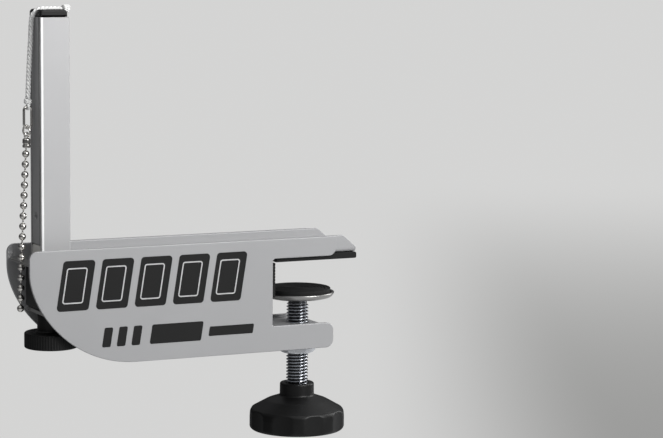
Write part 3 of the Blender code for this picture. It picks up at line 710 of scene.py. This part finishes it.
def net_post():
    """The slotted aluminium tube with its notch and small hole, and the nylon insert in its foot."""
    low, high = corners_of("net_post_tube")
    tube_piece = extruded("net_post_extrusion", post_section(), low[2], high[2], "post", "alu", along="Z",
                          edge=0.12, steps=2)
    outer = POST_X - POST_HALF_W
    opening = rounded([(-7.7, -20, 0), (7.7, -20, 0), (7.7, 17, 2.2), (-7.7, 17, 2.2)], 8)
    notch = extruded("notch_cutter", opening, outer - 3, outer + 2.0, None, "alu", along="X", edge=0.001,
                     steps=1)
    angle = ring_angles(48)
    circle = np.stack([2.5 * np.cos(angle), 34 + 2.5 * np.sin(angle)], 1)
    hole = extruded("hole_cutter", circle, outer - 3, outer + 3, None, "alu", along="X", edge=0.001, steps=1)
    carve(tube_piece, notch, hole)
    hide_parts("net_post_tube")

    low, high = corners_of("post_nylon_insert")
    shape = rounded([(-7.2, low[2] + 1, 0.6), (7.2, low[2] + 1, 0.6), (7.2, 16.4, 2.0), (-7.2, 16.4, 2.0)], 6)
    boss = extruded("post_insert_boss", shape, outer + 0.1, outer + 4, "post", "nylon", along="X", edge=0.5)
    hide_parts("post_nylon_insert")
    body = rounded([(low[0] + 0.2, low[1] + 0.2, 1), (high[0], low[1] + 0.2, 1), (high[0], high[1] - 0.2, 1),
                    (low[0] + 2.2, high[1] - 0.2, 1)], 4)
    body = np.array([(max(x, outer + 4.2), y) for x, y in body])
    extruded("post_insert_body", body, low[2], high[2], "post", "nylon", along="Z", edge=0.4)


def post_cap():
    """The moulded cap: rounded over its ends, with the cord's groove across the top and a plug below."""
    low, high = corners_of("post_cap")
    base = 154.0
    right = high[0]
    shape = rounded([(low[0], base, 0.2), (right, base, 0.2), (right, high[2], 2.2),
                     (low[0], high[2], 2.2)], 8)
    cap = extruded("post_cap_moulding", shape, low[1], high[1], "post", "black", edge=1.0, steps=6)
    middle, reach, half_groove = CAP_TOP - CAP_BEND_R, CAP_BEND_R - CORD_R - 0.3, 2.0
    arc = [(CAP_BEND_X + reach * cos(a), middle + reach * sin(a)) for a in np.linspace(pi / 2, pi, 12)]
    groove = [(right + 3, middle + reach), *arc, (arc[-1][0] - 0.2, base - 2), (low[0] - 3, base - 2),
              (low[0] - 3, high[2] + 4), (right + 3, high[2] + 4)]
    cutter = extruded("groove_cutter", np.array(groove), -half_groove, half_groove, None, "black",
                      edge=0.001, steps=1)
    plug = extruded("plug_solid", rounded([(-7.2, -8.2, 1), (7.2, -8.2, 1), (7.2, 8.2, 1), (-7.2, 8.2, 1)], 4)
                    + np.array([POST_X, 0]), low[2], base + 0.5, None, "black", along="Z", edge=0.5)
    carve(cap, plug, operation="UNION")
    carve(cap, cutter)
    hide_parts("post_cap")


WHEEL_R = 16.4


def knurled(radius, height, angle):
    """Fine upright flutes round the wheel's rim."""
    flutes, depth, fade, rim_top, rim_low = 60, 0.28, 0.5, -37.6, -46.6
    wave = 0.5 - 0.5 * np.cos(flutes * angle)
    on_rim = np.clip((radius - WHEEL_R + fade) / fade, 0, 1) * np.clip((rim_top - height) / fade, 0, 1)
    on_rim = on_rim * np.clip((height - rim_low) / fade, 0, 1)
    return radius - depth * wave * on_rim


def height_wheel():
    """The fluted wheel with its neck, and the M8 spindle that it turns."""
    low, high = corners_of("height_wheel")
    bottom, top = low[2], high[2]
    outer = rounded([(4.3, top, 0), (8.5, top, 0.6), (8.5, -37.2, 1.2), (13, -36.9, 2), (WHEEL_R, -37.6, 1.0),
                     (WHEEL_R, bottom, 0.9), (12, bottom, 0.4), (11.4, bottom + 1.0, 0.5),
                     (0.01, bottom + 1.0, 0)], 6, closed=False)
    profile = [(0.01, bottom + 2.4), (4.2, bottom + 2.4), *finely(outer, 1.2)]
    turned("height_wheel_moulding", profile, "height_wheel", "black", at=(POST_X, 0), segments=360,
           ends="fan", reach=knurled, sharp=50, stands_for=("height_wheel",))
    low, high = corners_of("height_spindle")
    spindle = thread_grid((POST_X, 0), -22.0, high[2], 3.9, 1.25, segments=40)
    angle = ring_angles(40)
    shank = [np.stack([POST_X + 3.9 * np.cos(angle), 3.9 * np.sin(angle), np.full(40, z)], 1)[None]
             for z in (low[2], -23.0)]
    surface("height_spindle_thread", np.concatenate([*shank, spindle]) * MM, "height_wheel", "zinc",
            ends="fan", sharp=50, stands_for=("height_spindle",))


# ---------------------------------------------------------------- latch, chain and rings
LATCH_X, CHAIN_TOP_X, CHAIN_END_X = -184.3, -181.0, -184.9
BEAD_R, PITCH, BEADS, FIRST_BEAD, ROUND_BEAD = 2.2, 6.25, 16, 71.7, 32
HANG_X, LINK_X = -180.4, -179.6


def latch_tab():
    """The bent tab between the plates, with the open slot that a bead hooks under."""
    low, high = corners_of("chain_latch_tab")
    left, right, half = low[0], high[0], high[1]
    shape = rounded([(right, -half, 0), (right, half, 0), (left, half, 2.5), (left, 3, 0.6),
                     (LATCH_X - 0.6, 1.2, 0.5), (LATCH_X + 1.8, 1.2, 1.1), (LATCH_X + 1.8, -1.2, 1.1),
                     (LATCH_X - 0.6, -1.2, 0.5), (left, -3, 0.6), (left, -half, 2.5)], 6)
    extruded("latch_tab_sheet", shape, low[2], high[2], "bracket", "steel", along="Z", edge=0.25,
             stands_for=("chain_latch_tab",))


def chain_x(z):
    """Where the chain hangs at a height: drawn out from the link to the latch, then straight down."""
    latch = 6.075
    last = FIRST_BEAD - PITCH * (BEADS - 1)
    above = LATCH_X + (CHAIN_TOP_X - LATCH_X) * (z - latch) / (FIRST_BEAD - latch)
    below = LATCH_X + (CHAIN_END_X - LATCH_X) * (latch - z) / (latch - last)
    return np.where(z > latch, above, below)


def bead_chain():
    """Hollow pressed beads, each a ball with a dimpled mouth at both poles, on short dumb-bell rods."""
    polar = np.linspace(0.24, pi - 0.24, 21)
    ball = [(0.001, 0.80), (0.42, 0.82)] + [(sin(a), cos(a)) for a in polar] + [(0.42, -0.82), (0.001, -0.80)]
    ball = np.array(ball) * BEAD_R
    angle = ring_angles(ROUND_BEAD)
    rod_start, rod_radii = 1.7, np.array([0.62, 0.5, 0.44, 0.44, 0.5, 0.62])
    beads, rods = [], []
    for bead in range(BEADS):
        centre = FIRST_BEAD - bead * PITCH
        x = float(chain_x(centre))
        grid = np.stack([x + ball[:, :1] * np.cos(angle), ball[:, :1] * np.sin(angle),
                         centre + np.repeat(ball[:, 1:], ROUND_BEAD, 1)], -1)
        beads.append(grid * MM)
        top = centre + PITCH - rod_start if bead else centre + BEAD_R + 1.4
        rod = np.linspace(centre + rod_start, top, len(rod_radii))
        rods.append(tube(np.stack([chain_x(rod), 0 * rod, rod], 1), rod_radii, (0, 1, 0), 10) * MM)
    joined("bead_chain_beads", beads, "bracket", "chrome", stands_for=("bead_chain",))
    joined("bead_chain_rods", rods, "bracket", "chrome", ends="flat")


def chain_connector():
    """The folded bell that grips the chain's last bead, with the eye that the ring passes through."""
    low, high = corners_of("chain_connector")
    base = low[2]
    bell = rounded([(0.001, base, 0), (1.9, base, 0.2), (2.5, base + 0.3, 0.3), (2.5, base + 1.6, 0.3),
                    (2.1, base + 1.9, 0.2), (2.1, base + 2.5, 0.2), (2.5, base + 2.8, 0.3),
                    (2.45, base + 5.2, 0.8), (1.2, base + 6.0, 0.4), (0.001, base + 6.0, 0)], 5, closed=False)
    turned("connector_bell", bell, "bracket", "chrome", at=(HANG_X, 0), segments=40, ends="fan",
           stands_for=("chain_connector",))
    eye_z, turn = high[2] - 2.5, radians(19)
    around = ring_angles(48)
    path = np.stack([HANG_X + 1.45 * np.cos(around) * cos(turn), 1.45 * np.cos(around) * sin(turn),
                     eye_z + 2.0 * np.sin(around)], 1)
    surface("connector_eye", tube(path, 0.5, (-sin(turn), cos(turn), 0), 14, closed=True) * MM, "bracket",
            "chrome", loop=True, sharp=80)


def split_ring():
    """A split ring: one wire wound twice round, its two coils side by side and its ends cut square."""
    middle, radius, turn = 85.7, 3.2, radians(-71)
    around = np.linspace(0, 2 * TAU * 0.97, 150)
    side = 0.3 * np.clip((around - 0.85 * TAU) / (0.25 * TAU), 0, 1) * 2 - 0.3
    along, across = np.array([cos(turn), sin(turn), 0]), np.array([-sin(turn), cos(turn), 0])
    path = (np.array([HANG_X, 0, middle]) + radius * np.cos(around)[:, None] * along
            + radius * np.sin(around)[:, None] * np.array([0, 0, 1]) + side[:, None] * across)
    wire = tube(path, 0.36, across, 12)
    surface("split_ring_wire", wire * MM, "bracket", "chrome", sharp=50, stands_for=("split_ring",))


def oval_link():
    """The long wire link, bent round from one rod whose ends meet half-way up one side."""
    middle, tall, wide, wire, turn = 93.7, 13.1, 4.9, 0.75, radians(4)
    straight, radius = (tall - wide) / 2, wide / 2
    side = np.linspace(0.12, straight, 8)[:-1]
    quarter = [(radius, v) for v in side]
    arc = [(radius * cos(a), straight + radius * sin(a)) for a in np.linspace(0, pi, 33)]
    far = [(-radius, v) for v in np.linspace(straight, -straight, 16)[1:-1]]
    low_arc = [(-u, -v) for u, v in arc]
    flat = np.array(quarter + arc + far + low_arc + [(radius, -v) for v in side[::-1]])
    path = np.stack([LINK_X + flat[:, 0] * cos(turn), flat[:, 0] * sin(turn), middle + flat[:, 1]], 1)
    surface("oval_link_wire", tube(path, wire, (-sin(turn), cos(turn), 0), 16) * MM, "bracket", "chrome",
            sharp=50, stands_for=("oval_link",))


# ---------------------------------------------------------------- cord
def smooth_line(route, spacing):
    """Evenly spaced points on the smooth curve through a route's own points (a Catmull-Rom spline)."""
    route = np.asarray(route, float)
    ends = np.vstack([2 * route[0] - route[1], route, 2 * route[-1] - route[-2]])
    t = np.linspace(0, 1, 24, endpoint=False)[:, None]
    pieces = [0.5 * (2 * b + (c - a) * t + (2 * a - 5 * b + 4 * c - d) * t * t
                     + (3 * b - a - 3 * c + d) * t ** 3)
              for a, b, c, d in zip(ends, ends[1:], ends[2:], ends[3:])]
    fine = np.vstack([*pieces, route[-1:]])
    run = np.concatenate([[0], np.cumsum(np.linalg.norm(np.diff(fine, axis=0), axis=1))])
    even = np.linspace(0, run[-1], int(run[-1] / spacing) + 1)
    return np.stack([np.interp(even, run, fine[:, k]) for k in range(fine.shape[1])], 1), run[-1]


def laid_strands(line, across, radius, lay, count=3, sides=12):
    """Twisted rope: strands whose middle lines wind round the line, one turn every lay."""
    heading = np.gradient(line, axis=0)
    heading /= np.linalg.norm(heading, axis=1, keepdims=True)
    side = np.cross(heading, across)
    side /= np.linalg.norm(side, axis=1, keepdims=True)
    up = np.cross(side, heading)
    run = np.concatenate([[0], np.cumsum(np.linalg.norm(np.diff(line, axis=0), axis=1))])
    strand = radius / (1 + 2 / np.sqrt(3))
    offset = radius - strand
    grids = []
    for k in range(count):
        phase = TAU * (run / lay + k / count)
        path = line + offset * (np.cos(phase)[:, None] * side + np.sin(phase)[:, None] * up)
        grids.append(tube(path, strand, across, sides))
    return grids


def tension_cord():
    """The laid white cord from the oval link up the post's outer side and over the cap's groove."""
    route = [(x, 0, z) for x, z in CORD_ROUTE]
    line, length = smooth_line(route, 0.35)
    across = np.array([0.0, 1.0, 0.0])
    grids = [grid * MM for grid in laid_strands(line, across, CORD_R, 7.5)]
    cord = joined("tension_cord_strands", grids, None, "cord")
    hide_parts("tension_cord")
    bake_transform(cord)
    return cord, line, length


def knot_core(start, end, radius):
    """A knot's solid middle, a rod that bulges half-way, which fills what the turns leave open."""
    swell = np.sqrt(np.clip(1 - np.linspace(-0.9, 0.9, 12) ** 2, 0.05, 1))
    return tube(np.linspace(start, end, 12), radius * swell, (0, 1, 0), 16) * MM


def knots():
    """The lower knot is the cord's own turns over a loop through the link; the upper one a round stopper."""
    low, high = corners_of("link_knot")
    middle = (low + high) / 2
    turns = np.linspace(0, 1, 150)
    phase = TAU * 2.6 * turns
    ring = 1.55 + 0.12 * np.sin(3 * phase)
    path = np.stack([middle[0] + ring * np.cos(phase), ring * np.sin(phase),
                     middle[2] - 0.95 + 1.9 * turns + 0.2 * np.sin(phase)], 1)
    wraps = [grid * MM for grid in laid_strands(path, np.array([0.0, 0, 1]), 0.85, 3.2)]
    wraps.append(knot_core((middle[0], 0, low[2] + 0.1), (middle[0], 0, high[2] - 0.1), 1.25))
    lower = joined("link_knot_turns", wraps, "bracket", "cord", stands_for=("link_knot",))

    around = ring_angles(90)
    top_wire = corners_of("oval_link")[1][2] - 0.75
    loop = np.stack([middle[0] - 0.2 + 0.25 * np.sin(2 * around), 1.55 * np.cos(around),
                     top_wire + 0.05 + 1.65 * np.sin(around)], 1)
    sling = surface("link_knot_loop", tube(loop, 0.75, (1, 0, 0), 14, closed=True) * MM, "bracket", "cord",
                    loop=True, sharp=80)

    low, high = corners_of("cord_end_knot")
    middle = (low + high) / 2
    phase = TAU * 2.4 * turns
    ring = 1.9 + 0.15 * np.sin(2 * phase)
    path = np.stack([middle[0] - 1.5 + 3.0 * turns, middle[1] + ring * np.cos(phase),
                     middle[2] + ring * np.sin(phase)], 1)
    wraps = [grid * MM for grid in laid_strands(path, np.array([1.0, 0, 0]), 0.9, 3.4)]
    wraps.append(knot_core((low[0] + 0.1, 0, middle[2]), (high[0] - 0.1, 0, middle[2]), 1.5))
    upper = joined("cord_end_knot_turns", wraps, "post", "cord", stands_for=("cord_end_knot",))
    return [lower, sling, upper]


# ---------------------------------------------------------------- decal
def decal():
    """A generic printed mark on the front plate: five leaning blocks, and a row of small bars below them."""
    face = corners_of("front_side_plate")[0][1]
    lean = 0.16

    def block(x, width, low, high, radius):
        skew = lean * (high - low)
        return rounded([(x, low, radius), (x + width, low, radius), (x + width + skew, high, radius),
                        (x + skew, high, radius)], 5)
    lefts = [-170 + 25.0 * k for k in range(5)]
    shapes = [block(left, 20.5, -22, 8.5, 2.2) for left in lefts]
    shapes += [block(-141 + 9.5 * k, 5.6, -45.5, -33.5, 1.0) for k in range(3)]
    shapes += [block(-110, 34, -45.5, -33.5, 1.2), block(-71, 30, -43.2, -37.2, 0.8)]
    inlines = [block(left + 3.6, 13.3, -17.6, 4.1, 1.6) for left in lefts]

    def printed(name, outline, proud, ink):
        return extruded(name, outline, face - proud, face - 0.005, None, ink, edge=0.01, steps=1)

    def frame_of(name, outline):
        mark = printed(name, outline, 0.06, "pale_ink")
        return carve(mark, extruded("inline_cut", inward(outline, 0.75), face - 1, face + 1, None, "ink",
                                    edge=0.001, steps=1))
    dark = [printed(f"dark_{k}", outline, 0.04, "ink") for k, outline in enumerate(shapes)]
    merged("dark_marks", dark, "bracket", "ink")
    light = [frame_of(f"light_{k}", outline) for k, outline in enumerate(inlines)]
    merged("light_marks", light, "bracket", "pale_ink")


# ---------------------------------------------------------------- studio
def floor():
    """Pale paper well below the held-up clamp, with far walls and one darker patch of painted shade, that
    glows and lights nothing.
    """
    reach, level, top = 80.0, -0.42, 60.0
    square = [(-reach, -reach), (reach, -reach), (reach, reach), (-reach, reach)]
    mesh = bpy.data.meshes.new("floor")
    mesh.from_pydata([(x, y, z) for z in (level, top) for x, y in square], [],
                     [(0, 1, 2, 3), *[(i, (i + 1) % 4, (i + 1) % 4 + 4, i + 4) for i in range(4)]])
    paper = bpy.data.objects.new("floor", mesh)
    bpy.context.scene.collection.objects.link(paper)
    pale = bpy.data.materials.new("floor_paper")
    pale.use_nodes = True
    tree = pale.node_tree
    shader = tree.nodes["Principled BSDF"]
    where = object_place(tree)
    # painted shade: the glowing paper is painted darker towards the right and the near side
    aside = eased(tree, along(tree, where, (0.90, -0.44, 0)), 0.05, 0.40)
    near = eased(tree, along(tree, where, (0.44, 0.90, 0)), 4.5, 1.2)
    shade = mixed(tree, product(tree, aside, near), (0.66, 0.66, 0.655), (0.33, 0.33, 0.325))
    shader.inputs["Base Color"].default_value = (0, 0, 0, 1)
    shader.inputs["Specular IOR Level"].default_value = 0
    tree.links.new(shade, shader.inputs["Emission Color"])
    shader.inputs["Emission Strength"].default_value = 1.0
    mesh.materials.append(pale)
    paper.visible_diffuse = paper.visible_glossy = False


def surroundings():
    """The studio round the clamp: pale above and below, dim at eye level and towards the back and left."""
    world = bpy.data.worlds.new("studio_world")
    bpy.context.scene.world = world
    world.use_nodes = True
    tree = world.node_tree
    toward = tree.nodes.new("ShaderNodeTexCoord").outputs["Generated"]
    height = node(tree, "ShaderNodeSeparateXYZ", Vector=toward).outputs["Z"]
    above, below = eased(tree, height, 0.05, 0.8), eased(tree, height, 0.05, -0.35)
    either = node(tree, "ShaderNodeMath", {"operation": "MAXIMUM"}, _0=above, _1=below).outputs[0]
    side = eased(tree, along(tree, toward, (0.6, -0.8, 0)), -0.9, 0.1, 0.3, 1.0)
    tree.links.new(mixed(tree, product(tree, either, side), (0.04, 0.04, 0.042), (0.56, 0.565, 0.57)),
                   tree.nodes["Background"].inputs["Color"])
    tree.nodes["Background"].inputs["Strength"].default_value = 1.0


def soft_light(name, place, size, power):
    """A rectangular soft light in metres and watts, aimed at the clamp."""
    data = bpy.data.lights.new(name, "AREA")
    data.shape, data.size, data.size_y, data.energy = "RECTANGLE", size[0], size[1], power
    lamp = bpy.data.objects.new(name, data)
    lamp.location = place
    lamp.rotation_euler = (Vector((-0.07, 0, 0.02)) - Vector(place)).to_track_quat("-Z", "Y").to_euler()
    bpy.context.scene.collection.objects.link(lamp)


def studio():
    """The floor, its surroundings, and soft lights from the front, above and the right."""
    floor()
    surroundings()
    soft_light("front_softbox", (0.75, -1.7, 0.9), (1.0, 1.4), 42)
    soft_light("top_softbox", (0.0, 0.1, 1.6), (1.4, 1.2), 4.5)
    soft_light("right_strip", (1.3, 0.1, 0.5), (0.35, 1.2), 8)
    bpy.context.scene.view_settings.view_transform = "Standard"


# ---------------------------------------------------------------- assembly
camera()
cord_piece, cord_line, cord_length = tension_cord()
knot_pieces = knots()
dress_cad_nodes()
cover_plates()
plate_screws()
jaw()
clamp_nut()
clamp_screw()
clamp_knob()
pressure_disc()
swivel_washer()
net_post()
post_cap()
height_wheel()
latch_tab()
bead_chain()
chain_connector()
split_ring()
oval_link()
decal()
studio()
